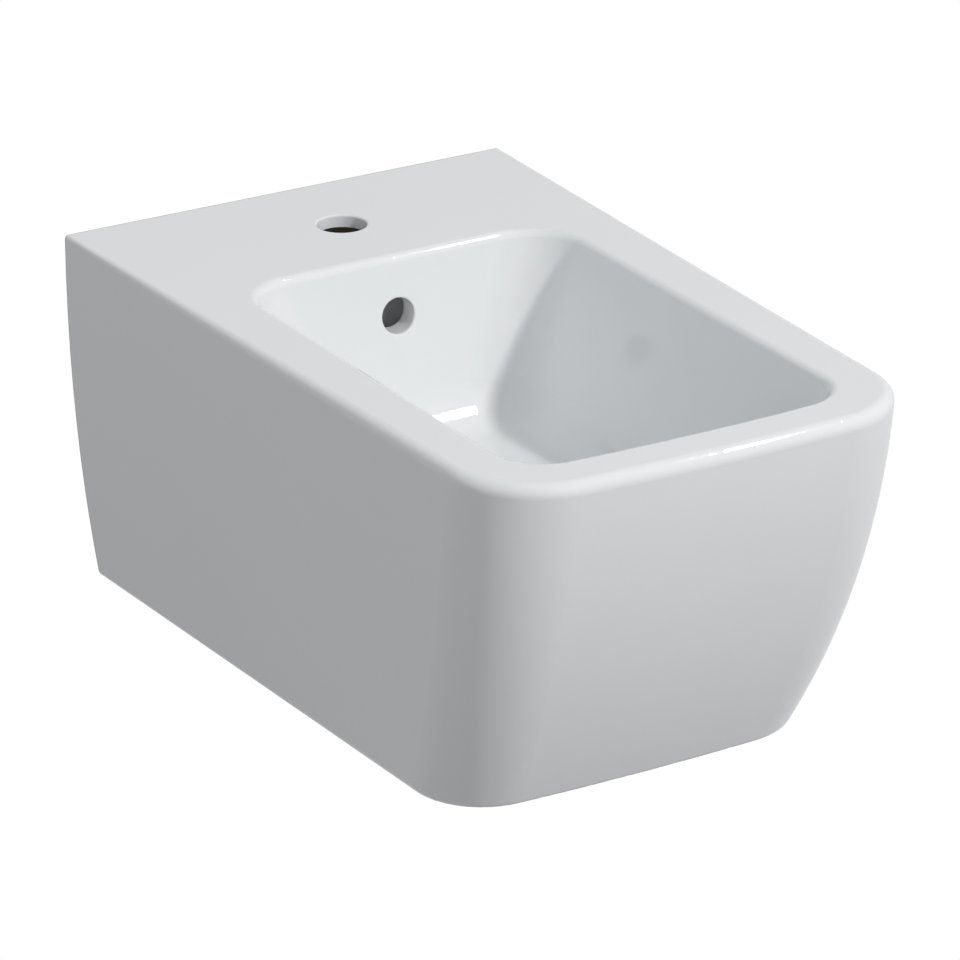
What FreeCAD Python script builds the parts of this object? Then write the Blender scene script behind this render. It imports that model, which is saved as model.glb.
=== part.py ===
import FreeCAD, Part
import os
import re
import Sketcher
from FreeCAD import Placement, Rotation, Vector

# A wall-hung bidet: one ceramic casting, the fixings that hold it to the wall, and the
# push-open waste with its drain bend that it carries underneath.
# Frame: X across, Y out of the room into the wall, Z up. The wall is the plane Y = 0 and the
# origin lies on it, half way between the two wall studs.

SIZES = [
    # Ceramic casting, outside
    ("overall_width", 350, "width of the rim at the wall"),
    ("overall_depth", 560, "wall to the foremost point of the rim"),
    ("overall_height", 262, "rim to the lowest edge"),
    ("stud_drop", 90, "rim down to the stud axis"),
    ("side_taper", 12, "how far each side draws in from the wall to the front corner"),
    ("corner_radius", 64, "front corner in plan, at the rim"),
    ("foot_corner_radius", 53, "front corner in plan, at the lowest edge"),
    ("front_bow_radius", 1950, "radius of the slightly bowed front in plan"),
    ("side_inset_middle", 4.2, "side drawn in at half height"),
    ("side_inset_foot", 20, "side drawn in at the lowest edge"),
    ("front_inset_middle", 31, "front drawn in at half height"),
    ("front_inset_foot", 92, "front drawn in at the lowest edge"),
    ("rim_edge_radius", 8, "rounding of the outer rim edge, at the front and its corners"),
    ("rim_edge_at_wall", 3, "rounding of the same edge where it meets the wall"),
    ("foot_edge_radius", 8, "rounding of the lowest outer edge"),
    ("wall_trim", 2, "ground off the back to make it flat against the wall"),
    # Ceramic casting, thickness
    ("skirt_wall", 12, "thickness of the sides and the front"),
    ("back_wall", 14, "thickness of the plate against the wall"),
    ("deck_thickness", 9, "thickness of the tap deck and the rim"),
    ("bowl_wall", 10, "thickness of the bowl"),
    ("inner_corner_radius", 24, "corners of the hollow underneath, by the wall"),
    # Bowl
    ("side_rim", 50.5, "side of the rim to the side edge of the bowl, at the wall"),
    ("bowl_back", 151, "wall to the back edge of the bowl"),
    ("front_rim", 38, "front of the rim to the front edge of the bowl"),
    ("bowl_depth", 126, "rim to the bowl floor"),
    ("bowl_back_corner", 40, "back corners of the bowl in plan, at the rim"),
    ("bowl_front_corner", 34, "front corners of the bowl in plan, at the rim"),
    ("bowl_floor_corner", 42, "all corners of the bowl in plan, at the floor"),
    ("bowl_side_middle", 22, "bowl side drawn in at half depth"),
    ("bowl_side_floor", 40, "bowl side drawn in at the floor"),
    ("bowl_back_middle", 8, "bowl back drawn in at half depth"),
    ("bowl_back_floor", 22, "bowl back drawn in at the floor"),
    ("bowl_front_middle", 14, "bowl front drawn in at half depth"),
    ("bowl_front_floor", 38, "bowl front drawn in at the floor"),
    ("bowl_floor_fillet", 36, "rounding between the bowl walls and floor"),
    ("bowl_lip_radius", 6, "rounding of the bowl's edge at the rim"),
    # Drain seat, overflow and tap hole in the ceramic
    ("drain_reach", 290, "wall to the drain axis"),
    ("dish_radius", 54, "radius of the shallow dish round the drain"),
    ("dish_depth", 6, "depth of that dish"),
    ("drain_seat_radius", 34, "flat ring for the waste flange"),
    ("drain_bore_radius", 23, "hole for the waste body"),
    ("drain_boss_radius", 42, "boss under the bowl floor"),
    ("overflow_radius", 12.5, "overflow hole in the back of the bowl"),
    ("overflow_drop", 43, "rim to the centre of the overflow hole"),
    ("duct_reach", 118, "wall to the back of the overflow passage"),
    ("duct_headroom", 4, "height of the overflow passage above the hole"),
    ("duct_passage", 22, "overflow passage, front to back"),
    ("duct_half_width", 24, "overflow passage, half its width"),
    ("duct_floor_gap", 10, "height of the passage under the bowl floor"),
    ("duct_wall", 8, "thickness of the duct round the passage"),
    ("tap_hole_radius", 17.5, "hole in the deck for a tap"),
    ("tap_hole_reach", 78, "wall to the tap hole axis"),
    ("tap_hole_edge", 1.5, "softened edge of the tap hole"),
    ("overflow_edge", 1.5, "softened edge of the overflow hole"),
    # Wall fixing
    ("stud_spacing", 180, "between the stud axes"),
    ("stud_radius", 6, "wall stud, at the threads on both its ends"),
    ("stud_shank_radius", 5.4, "plain shank between those threads"),
    ("stud_nut_thread", 26, "length of the thread for the nut"),
    ("stud_bevel", 1, "bevel at both ends of the stud"),
    ("stud_inside", 62, "stud length in front of the wall face"),
    ("stud_in_wall", 50, "stud length behind the wall face"),
    ("stud_boss_radius", 26, "boss round each stud hole"),
    ("stud_boss_length", 34, "wall face to the boss face"),
    ("stud_hole_radius", 10, "hole in the ceramic"),
    ("sleeve_clearance", 0.4, "radial gap between sleeve and ceramic hole"),
    ("stud_clearance", 0.3, "radial gap between stud and what it passes through"),
    ("sleeve_setback", 1, "wall face to the end of the sleeve"),
    ("sleeve_collar_radius", 17, "collar of the sleeve"),
    ("sleeve_collar", 3, "thickness of that collar"),
    ("stud_washer_radius", 15, "washer under the nut"),
    ("stud_washer", 2.5, "thickness of that washer"),
    ("stud_nut_across", 19, "nut across its flats"),
    ("stud_nut", 10, "nut height"),
    ("thread_clearance", 0.1, "radial gap of every screwed joint"),
    ("notch_side_gap", 28, "opening in the back wall, beside the drain pipe's cover ring"),
    ("notch_top_gap", 22.5, "the same opening, above that cover ring"),
    # Waste body
    ("flange_radius", 32, "visible flange of the waste"),
    ("flange_thickness", 2.5, "thickness of that flange"),
    ("flange_seal", 2, "seal between the flange and the ceramic"),
    ("flange_seal_radius", 30, "outside of that seal"),
    ("waste_radius", 20.9, "threaded outside of the waste body"),
    ("waste_bore", 17.5, "bore of the waste body"),
    ("waste_below_boss", 24, "waste body below the ceramic boss"),
    ("slot_width", 12, "overflow slots in the waste body"),
    ("crossbar_width", 11, "bar across the bore that carries the cartridge"),
    ("crossbar_height", 7, "height of that bar"),
    ("ring_clearance", 0.3, "radial gap of the rings and nuts on the waste body"),
    ("under_seal_radius", 31, "seal under the ceramic boss"),
    ("under_seal", 4, "thickness of that seal"),
    ("slip_washer", 1.5, "thickness of the slip washer"),
    ("backnut_across", 54, "backnut across its flats"),
    ("backnut", 8, "backnut height"),
    # Push-open plug
    ("plug_radius", 30, "cap of the plug"),
    ("plug_edge", 1.6, "thickness of the cap at its edge"),
    ("plug_dome", 3.6, "rise of the cap's domed top"),
    ("plug_hub_radius", 9, "hub under the cap"),
    ("plug_hub", 6, "length of that hub"),
    ("plug_seal_radius", 27, "sealing ring under the cap"),
    ("plug_seal_width", 5, "width of that ring"),
    ("plug_seal", 2.4, "thickness of that ring"),
    ("plug_travel", 8, "press from open to shut"),
    ("shut_gap", 0.3, "gap left under the sealing ring when shut"),
    ("stem_radius", 3, "stem of the plug"),
    ("stem_collar_radius", 4.6, "collar that the spring pushes on"),
    ("stem_collar", 4, "height of that collar"),
    ("stem_tail", 14, "stem below the collar, inside the spring"),
    ("stem_clearance", 0.08, "running gap of the stem in the cartridge cap"),
    ("cartridge_radius", 7, "cartridge sleeve"),
    ("cartridge_bore", 5, "bore of the sleeve"),
    ("cartridge_base", 3, "closed bottom of the sleeve"),
    ("cartridge_spigot", 4, "radius of the spigot that screws into the crossbar"),
    ("cartridge_cap", 5, "thickness of the cartridge's screwed cap"),
    ("cartridge_cap_skirt", 5, "how far that cap reaches down over the sleeve"),
    ("cartridge_cap_radius", 8.8, "outside of that cap"),
    ("collar_gap", 0.3, "gap between collar and cartridge cap when open"),
    ("spring_wire", 0.9, "spring wire diameter"),
    ("spring_clearance", 0.25, "radial gap between spring and sleeve"),
    ("spring_pitch", 3.4, "rise of the spring in one turn"),
    ("spring_gap", 0.3, "gap between the spring and the collar it pushes on"),
    # Drain bend and pipe to the wall
    ("pipe_radius", 16, "drain pipe"),
    ("pipe_wall", 1.4, "thickness of that pipe"),
    ("pipe_clearance", 0.3, "radial gap of what slides on the pipe"),
    ("pipe_in_wall", 60, "drain pipe behind the wall face"),
    ("pipe_end_bevel", 1.5, "length of the bevel at the pipe's end, twice as long as deep"),
    ("pipe_mark_reach", 8, "wall face to the groove that marks how far the pipe goes in"),
    ("pipe_mark", 1, "width of that groove"),
    ("pipe_mark_depth", 0.3, "depth of that groove"),
    ("union_gasket", 2, "gasket between waste and bend"),
    ("bend_flange_radius", 20, "flange at the top of the bend"),
    ("bend_flange", 2.5, "thickness of that flange"),
    ("union_across", 50, "union nut across its flats"),
    ("union_overlap", 8, "union nut above the end of the waste body"),
    ("union_shoulder", 3, "lip of the union nut under the bend flange"),
    ("bend_neck", 2, "straight stretch below the union nut"),
    ("bend_radius", 30, "bend, on its centre line"),
    ("bend_outlet", 40, "straight outlet of the bend towards the wall"),
    ("socket_radius", 19.5, "socket at the end of that outlet"),
    ("socket_depth", 24, "how far the pipe enters the socket"),
    ("socket_base", 4, "socket behind the end of the pipe"),
    ("socket_seal", 6, "length of the cone seal between socket and pipe"),
    ("socket_seal_taper", 1.6, "how much that seal narrows"),
    ("socket_nut_radius", 24, "nut over the socket"),
    ("socket_nut", 18, "length of that nut"),
    ("socket_nut_lip", 2.5, "lip of that nut behind the seal"),
    ("socket_nut_ribs", 12, "grip ribs round that nut"),
    ("socket_nut_rib", 1.6, "radius of each rib"),
    ("rosette_radius", 27, "cover ring where the pipe enters the wall"),
    ("rosette_nose", 20, "front radius of that ring"),
    ("rosette_depth", 9, "depth of that ring"),
    ("rosette_sheet", 1.5, "sheet thickness of that ring"),
]

doc = FreeCAD.newDocument("wall_hung_bidet")
sheet = doc.addObject("Spreadsheet::Sheet", "dims")
for row, (alias, size, meaning) in enumerate(SIZES, start=1):
    sheet.set(f"A{row}", meaning)
    sheet.set(f"B{row}", str(size))
    sheet.setAlias(f"B{row}", alias)
doc.recompute()
NAMES = {alias for alias, size, meaning in SIZES}


def sized(text):
    """Turn a size written in the sheet's names into an expression on the sheet."""
    return re.sub(r"[a-z]\w*", lambda word: "dims." * (word[0] in NAMES) + word[0], text)


def number(text):
    """The present value of such a size, in millimetres."""
    return float(sheet.evalExpression(sized(text)))


def bind(thing, **sizes):
    """Tie properties of an object to the sheet; x, y and z are its place."""
    places = {"x": "Placement.Base.x", "y": "Placement.Base.y", "z": "Placement.Base.z"}
    for name, text in sizes.items():
        thing.setExpression(places.get(name, name), sized(text))
    return thing


# Heights, as sizes of the sheet. The rim is the reference, and everything hangs below it.
RIM = "stud_drop"
MIDDLE = "(stud_drop - overall_height / 2)"
FOOT = "(stud_drop - overall_height)"
DECK_UNDER = "(stud_drop - deck_thickness)"
BOWL_MIDDLE = "(stud_drop - bowl_depth / 2)"
FLOOR = "(stud_drop - bowl_depth)"
SEAT = "(stud_drop - bowl_depth - dish_depth)"
BOSS_UNDER = f"({SEAT} - duct_floor_gap - 2 * duct_wall)"
FLANGE_UNDER = f"({SEAT} + flange_seal)"
FLANGE_TOP = f"({SEAT} + flange_seal + flange_thickness)"
WASTE_END = f"({BOSS_UNDER} - waste_below_boss)"
DRAIN_Y = "(-drain_reach)"
STUD_X = "stud_spacing / 2"

UP = Rotation()
TO_WALL = Rotation(Vector(1, 0, 0), -90)
SIDEWAYS = Rotation(Vector(0, -1, 0), Vector(0, 0, -1), Vector(1, 0, 0), "XYZ")
FULL_TURN = 360
RIGHT_ANGLE = 90
# How a sketch numbers the points of a line or arc, and its own axes.
START, END, CENTRE = range(1, 4)
X_AXIS, Y_AXIS = range(-1, -3, -1)
NEAR = 0.01


def cylinder(name, radius, low, high, y=DRAIN_Y):
    """A round bar standing on the drain axis, or on another upright axis."""
    bar = doc.addObject("Part::Cylinder", name)
    return bind(bar, Radius=radius, Height=f"({high}) - ({low})", y=y, z=low)


def bar_to_wall(name, radius, front, back, x="0", z="0"):
    """A round bar lying along Y, from the front end to the back end."""
    bar = doc.addObject("Part::Cylinder", name)
    bar.Placement = Placement(Vector(), TO_WALL)
    return bind(bar, Radius=radius, Height=f"({back}) - ({front})", x=x, y=front, z=z)


def cone_to_wall(name, front_radius, back_radius, front, back, x="0", z="0"):
    """A tapered round bar lying along Y, from the front end to the back end."""
    cone = doc.addObject("Part::Cone", name)
    cone.Placement = Placement(Vector(), TO_WALL)
    bind(cone, Radius1=front_radius, Radius2=back_radius, Height=f"({back}) - ({front})")
    return bind(cone, x=x, y=front, z=z)


def box(name, left, right, front, back, low, high):
    """A block between six planes."""
    block = doc.addObject("Part::Box", name)
    bind(block, Length=f"({right}) - ({left})", Width=f"({back}) - ({front})", Height=f"({high}) - ({low})")
    return bind(block, x=left, y=front, z=low)


def fuse(name, *pieces):
    joined = doc.addObject("Part::MultiFuse", name)
    joined.Shapes = list(pieces)
    joined.Refine = True
    return joined


def cut(name, base, *tools):
    """Base less all the tools."""
    remains = doc.addObject("Part::Cut", name)
    remains.Base = base
    remains.Tool = tools[0] if len(tools) == 1 else fuse(name + "_tools", *tools)
    return remains


def common(name, first, second):
    shared = doc.addObject("Part::MultiCommon", name)
    shared.Shapes = [first, second]
    return shared


def pair(name, piece):
    """A piece on the right-hand stud and its copy on the left-hand stud, as separate solids."""
    twin = doc.addObject("Part::Mirroring", name + "_twin")
    twin.Source = piece
    twin.Normal = Vector(1, 0, 0)
    both = doc.addObject("Part::Compound", name)
    both.Links = [piece, twin]
    return both


def ring(name, inner, outer, low, high):
    """A flat ring or sleeve on the drain axis."""
    return cut(name, cylinder(name + "_outer", outer, low, high),
               cylinder(name + "_bore", inner, low, high))


def hex_nut(name, across, height, bore, turn=UP):
    """A hexagonal nut with turned-off corners, standing on its own axis at the origin."""
    flats = doc.addObject("Part::Prism", name + "_flats")
    flats.Polygon = 6
    corner = f"({across}) / 2 / cos(30 deg)"
    bind(flats, Circumradius=corner, Height=height)
    round_bar = doc.addObject("Part::Cylinder", name + "_bar")
    bind(round_bar, Radius=corner, Height=height)
    doc.recompute()
    turned = doc.addObject("Part::Chamfer", name + "_turned")
    turned.Base = round_bar
    bevel = round_bar.Radius.Value - number(across) / 2
    ends = [index for index, edge in enumerate(round_bar.Shape.Edges, start=1) if edge.Closed
            and edge.BoundBox.ZLength < bevel]
    turned.Edges = [(index, bevel / 2, bevel) for index in ends]
    hole = doc.addObject("Part::Cylinder", name + "_hole")
    bind(hole, Radius=bore, Height=height)
    nut = cut(name, common(name + "_solid", flats, turned), hole)
    nut.Placement = Placement(Vector(), turn)
    return nut


def evenly(text):
    """The same radius all along an edge."""
    return lambda place: number(text)


def rim_radius(place):
    """The rim's outer edge is sharper where it meets the wall and softest from the front corners on."""
    share = min(-place.y / number("overall_depth - corner_radius"), 1)
    return number("rim_edge_at_wall") + share * number("rim_edge_radius - rim_edge_at_wall")


def rounded(name, base, edges):
    """Round edges of a base: a list of pairs, a test that picks the edges and their radius.

    The radius is a function of the place along an edge.
    """
    doc.recompute()
    smooth = doc.addObject("Part::Fillet", name)
    smooth.Base = base
    picked = []
    for test, radius in edges:
        found = [index for index, edge in enumerate(base.Shape.Edges, start=1) if test(edge)]
        if not found:
            raise RuntimeError(f"{name}: no edge to round")
        for index in found:
            edge = base.Shape.Edges[index - 1]
            ends = edge.firstVertex(), edge.lastVertex()
            picked.append((index, *[radius(end.Point) for end in ends]))
    smooth.Edges = picked
    return smooth


# Plan outlines of the casting. In these sketches the second coordinate is the distance from
# the wall, so a sketch is turned over about X and looks down.
LOOK_DOWN = Rotation(Vector(1, 0, 0), 180)


def plan_outline(name, height, back, half_back, half_front, depth, front_corner, back_corner=None):
    """A closed outline with straight sides, round front corners and a slightly bowed front.

    Its back is a straight line at a distance from the wall, with round corners if a radius
    is given. If not, the corners are sharp and that distance is one behind the wall face. The
    sizes are texts in the names of the sheet.
    """
    sketch = doc.addObject("Sketcher::SketchObject", name)
    sketch.Placement = Placement(Vector(), LOOK_DOWN)
    y_back = number(back) if back_corner else -number(back)
    wide = number(half_back)
    narrow = number(half_front)
    reach = number(depth)
    corner = number(front_corner)
    bow = number("front_bow_radius")
    soft = number(back_corner) if back_corner else 0
    up = Vector(0, 0, 1)

    def line(start, end):
        return sketch.addGeometry(Part.LineSegment(Vector(*start, 0), Vector(*end, 0)))

    def arc(centre, radius, start, end):
        circle = Part.Circle(Vector(*centre, 0), up, radius)
        first = FreeCAD.Units.Quantity(f"{start} deg").getValueAs("rad").Value
        last = FreeCAD.Units.Quantity(f"{end} deg").getValueAs("rad").Value
        return sketch.addGeometry(Part.ArcOfCircle(circle, first, last))

    lean = FreeCAD.Units.Quantity(f"{(narrow - corner) / bow} rad").getValueAs("deg").Value
    chain = [line((soft - wide, y_back), (wide - soft, y_back))]
    if back_corner:
        chain.append(arc((wide - soft, y_back + soft), soft, 3 * RIGHT_ANGLE, 4 * RIGHT_ANGLE))
    right = line((wide, y_back + soft), (narrow, reach - corner))
    turn = arc((narrow - corner, reach - corner), corner, 0, RIGHT_ANGLE)
    front = arc((0, reach - bow), bow, RIGHT_ANGLE - lean, RIGHT_ANGLE + lean)
    other_turn = arc((corner - narrow, reach - corner), corner, RIGHT_ANGLE, 2 * RIGHT_ANGLE)
    left = line((-narrow, reach - corner), (-wide, y_back + soft))
    chain += [right, turn, front, other_turn, left]
    if back_corner:
        chain.append(arc((soft - wide, y_back + soft), soft, 2 * RIGHT_ANGLE, 3 * RIGHT_ANGLE))

    def hold(kind, *rest):
        return sketch.addConstraint(Sketcher.Constraint(kind, *rest))

    for one, following in zip(chain, chain[1:] + chain[:1]):
        smooth = back_corner or chain[0] not in (one, following)
        hold("Tangent" if smooth else "Coincident", one, END, following, START)
    hold("Horizontal", chain[0])
    hold("PointOnObject", front, CENTRE, Y_AXIS)
    hold("Equal", turn, other_turn)

    def size(kind, text, *rest):
        index = hold(kind, *rest, number(text))
        sketch.setExpression(f"Constraints[{index}]", sized(text))

    size("Radius", front_corner, turn)
    size("Radius", "front_bow_radius", front)
    size("DistanceY", f"front_bow_radius - ({depth})", front, CENTRE, X_AXIS, START)
    size("DistanceX", half_front, X_AXIS, START, right, END)
    size("DistanceX", f"2 * ({half_front})", left, START, right, END)
    size("DistanceX", half_back, X_AXIS, START, right, START)
    size("DistanceX", f"2 * ({half_back})", left, END, right, START)
    if back_corner:
        hold("Equal", chain[1], chain[-1])
        size("Radius", back_corner, chain[1])
        size("DistanceY", back, X_AXIS, START, chain[0], START)
    else:
        size("DistanceY", back, chain[0], START, X_AXIS, START)
    bind(sketch, z=height)
    return sketch


def loft(name, *sections):
    """A solid through closed outlines, smooth from one to the next."""
    solid = doc.addObject("Part::Loft", name)
    solid.Sections = list(sections)
    solid.Solid = True
    solid.Ruled = False
    return solid


def casting_outline(name, height, side, front, corner):
    """The casting's outside at one height, drawn in by so much at its sides and front."""
    return plan_outline(name, height, "wall_trim", f"overall_width / 2 - {side}",
                        f"overall_width / 2 - side_taper - {side}", f"overall_depth - {front}", corner)


def hollow_outline(name, height, side, front, corner):
    """The hollow underneath at one height, a wall's thickness inside the casting."""
    return plan_outline(name, height, "back_wall", f"overall_width / 2 - {side} - skirt_wall",
                        f"overall_width / 2 - side_taper - {side} - skirt_wall",
                        f"overall_depth - {front} - skirt_wall", f"{corner} - skirt_wall",
                        "inner_corner_radius")


def bowl_outline(name, height, side, back, front, share, grow="0"):
    """The bowl at one height, drawn in by so much at its sides, back and front.

    The share of the way from the rim to the floor sets the radii of its corners.
    """
    half = f"overall_width / 2 - side_rim - {side} + {grow}"
    corners = [f"{corner} + (bowl_floor_corner - {corner}) * {share} + {grow}"
               for corner in ("bowl_front_corner", "bowl_back_corner")]
    return plan_outline(name, height, f"bowl_back + {back} - {grow}", half, half,
                        f"overall_depth - front_rim - {front} + {grow}", *corners)


def ceramic_casting():
    """The glazed casting: skirt, tap deck, bowl, overflow duct, drain boss and wall plate."""
    outside = loft(
        "casting_outside",
        casting_outline("rim_plan", RIM, "0", "0", "corner_radius"),
        casting_outline("middle_plan", MIDDLE, "side_inset_middle", "front_inset_middle",
                        "(corner_radius + foot_corner_radius) / 2"),
        casting_outline("foot_plan", FOOT, "side_inset_foot", "front_inset_foot", "foot_corner_radius"))
    doc.recompute()
    top, bottom = outside.Shape.BoundBox.ZMax, outside.Shape.BoundBox.ZMin
    outside = rounded("casting_rounded", outside, [
        (lambda edge: edge.BoundBox.ZMin > top - NEAR and edge.BoundBox.YMin < -NEAR,
         rim_radius),
        (lambda edge: edge.BoundBox.ZMax < bottom + NEAR and edge.BoundBox.YMin < -NEAR,
         evenly("foot_edge_radius"))])
    ground_off = box("wall_trim", "(-overall_width)", "overall_width", "0", "2 * wall_trim",
                     f"({FOOT} - overall_height)", f"({RIM} + overall_height)")
    outside = cut("casting_flat", outside, ground_off)

    hollow = loft(
        "casting_hollow",
        hollow_outline("hollow_top", DECK_UNDER, "0", "0", "corner_radius"),
        hollow_outline("hollow_middle", MIDDLE, "side_inset_middle", "front_inset_middle",
                       "(corner_radius + foot_corner_radius) / 2"),
        hollow_outline("hollow_foot", FOOT, "side_inset_foot", "front_inset_foot", "foot_corner_radius"))
    skirt = cut("casting_skirt", outside, hollow)

    bowl = loft(
        "bowl_inside",
        bowl_outline("bowl_rim", RIM, "0", "0", "0", "0"),
        bowl_outline("bowl_half", BOWL_MIDDLE, "bowl_side_middle", "bowl_back_middle",
                     "bowl_front_middle", "1 / 2"),
        bowl_outline("bowl_floor", FLOOR, "bowl_side_floor", "bowl_back_floor", "bowl_front_floor", "1"))
    doc.recompute()
    floor = bowl.Shape.BoundBox.ZMin
    bowl = rounded("bowl_inside_rounded", bowl, [
        (lambda edge: edge.BoundBox.ZMax < floor + NEAR, evenly("bowl_floor_fillet"))])
    bowl_skin = loft(
        "bowl_outside",
        bowl_outline("skin_rim", f"{RIM} - deck_thickness / 2", "0", "0", "0", "0", "bowl_wall"),
        bowl_outline("skin_half", f"{BOWL_MIDDLE} - bowl_wall / 2", "bowl_side_middle",
                     "bowl_back_middle", "bowl_front_middle", "1 / 2", "bowl_wall"),
        bowl_outline("skin_floor", f"{FLOOR} - bowl_wall", "bowl_side_floor", "bowl_back_floor",
                     "bowl_front_floor", "1", "bowl_wall"))
    doc.recompute()
    under = bowl_skin.Shape.BoundBox.ZMin
    bowl_skin = rounded("bowl_outside_rounded", bowl_skin, [
        (lambda edge: edge.BoundBox.ZMax < under + NEAR, evenly("bowl_floor_fillet + bowl_wall"))])

    dish = doc.addObject("Part::Cone", "drain_dish")
    bind(dish, Radius1="drain_seat_radius", Radius2="dish_radius", Height="dish_depth", y=DRAIN_Y, z=SEAT)
    boss = cylinder("drain_boss", "drain_boss_radius", BOSS_UNDER, FLOOR)
    bore = cylinder("drain_bore", "drain_bore_radius", f"({BOSS_UNDER} - bowl_wall)", FLOOR)

    duct = overflow_duct("duct_outside", "duct_wall")
    passage = overflow_duct("duct_passage", "0")
    overflow_z = f"({RIM} - overflow_drop)"
    overflow = bar_to_wall("overflow_hole", "overflow_radius", "(-bowl_back - bowl_back_floor)",
                           "(-duct_reach - duct_passage / 2)", z=overflow_z)
    tap_hole = cylinder("tap_hole", "tap_hole_radius", f"{RIM} - 2 * deck_thickness",
                        f"{RIM} + deck_thickness", y="(-tap_hole_reach)")
    stud_boss = bar_to_wall("stud_boss", "stud_boss_radius", "(-stud_boss_length)", "0", x=STUD_X)
    stud_hole = bar_to_wall("stud_hole", "stud_hole_radius", "(-2 * stud_boss_length)", "back_wall",
                            x=STUD_X)
    notch_half = "rosette_radius + notch_side_gap"
    notch = box("drain_notch", f"-({notch_half})", notch_half, "(-2 * back_wall)", "back_wall",
                f"({FOOT} - foot_edge_radius)", f"({PIPE_Z} + rosette_radius + notch_top_gap)")

    solid = fuse("casting_solid", skirt, bowl_skin, boss, duct, pair("stud_bosses", stud_boss))
    pierced = cut("casting_pierced", solid, bowl, dish, bore, passage, overflow, tap_hole,
                  pair("stud_holes", stud_hole), notch)
    lip_back = number("-bowl_back") + NEAR
    half_bowl = number("overall_width / 2 - side_rim") + NEAR
    tap_back = number("-tap_hole_reach + tap_hole_radius") + NEAR
    tap_front = number("-tap_hole_reach - tap_hole_radius") - NEAR
    overflow_half = number("overflow_radius") + NEAR
    overflow_low = number(f"{overflow_z} - overflow_radius") - NEAR
    return rounded("ceramic_body", pierced, [
        (lambda edge: edge.BoundBox.ZMin > top - NEAR and edge.BoundBox.YMax < lip_back
         and edge.BoundBox.XMax < half_bowl and -edge.BoundBox.XMin < half_bowl,
         evenly("bowl_lip_radius")),
        (lambda edge: edge.BoundBox.ZMin > top - NEAR and edge.BoundBox.YMax < tap_back
         and edge.BoundBox.YMin > tap_front, evenly("tap_hole_edge")),
        (lambda edge: edge.BoundBox.YMax < lip_back and edge.BoundBox.XMax < overflow_half
         and edge.BoundBox.ZMin > overflow_low and edge.BoundBox.ZMax < top - NEAR,
         evenly("overflow_edge"))])


def overflow_duct(name, grow):
    """The overflow's way down behind the bowl and forward under its floor, or the duct round it."""
    sketch = doc.addObject("Sketcher::SketchObject", name + "_side")
    # Seen from the side: the first coordinate is the distance from the wall, the second the
    # depth below the rim.
    sketch.Placement = Placement(Vector(), SIDEWAYS)
    top = f"overflow_drop - overflow_radius - duct_headroom - {grow}"
    ceiling = f"bowl_depth + dish_depth + duct_wall - {grow}"
    bottom = f"bowl_depth + dish_depth + duct_wall + duct_floor_gap + {grow}"
    corners = [
        (f"duct_reach - {grow}", top),
        (f"duct_reach + duct_passage + {grow}", top),
        (f"duct_reach + duct_passage + bowl_back_middle + {grow}", ceiling),
        ("drain_reach", ceiling),
        ("drain_reach", bottom),
        (f"duct_reach + bowl_back_middle - {grow}", bottom)]
    spots = [Vector(number(across), number(down), 0) for across, down in corners]
    sides = [sketch.addGeometry(Part.LineSegment(spot, following))
             for spot, following in zip(spots, spots[1:] + spots[:1])]
    for side, following in zip(sides, sides[1:] + sides[:1]):
        sketch.addConstraint(Sketcher.Constraint("Coincident", side, END, following, START))
    for side, (across, down) in zip(sides, corners):
        for kind, text in (("DistanceX", across), ("DistanceY", down)):
            place = Sketcher.Constraint(kind, X_AXIS, START, side, START, number(text))
            sketch.setExpression(f"Constraints[{sketch.addConstraint(place)}]", sized(text))
    bind(sketch, z=RIM)
    duct = doc.addObject("Part::Extrusion", name)
    duct.Base = sketch
    duct.DirMode = "Normal"
    duct.Symmetric = True
    duct.Solid = True
    return bind(duct, LengthFwd=f"2 * (duct_half_width + {grow})")


# Wall fixing: a threaded stud out of the wall, a plastic sleeve in the ceramic, a washer and a nut.
COLLAR_FACE = "(-stud_boss_length - sleeve_collar)"
WASHER_FACE = "(-stud_boss_length - sleeve_collar - stud_washer)"
NUT_FACE = "(-stud_boss_length - sleeve_collar - stud_washer - stud_nut)"


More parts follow.
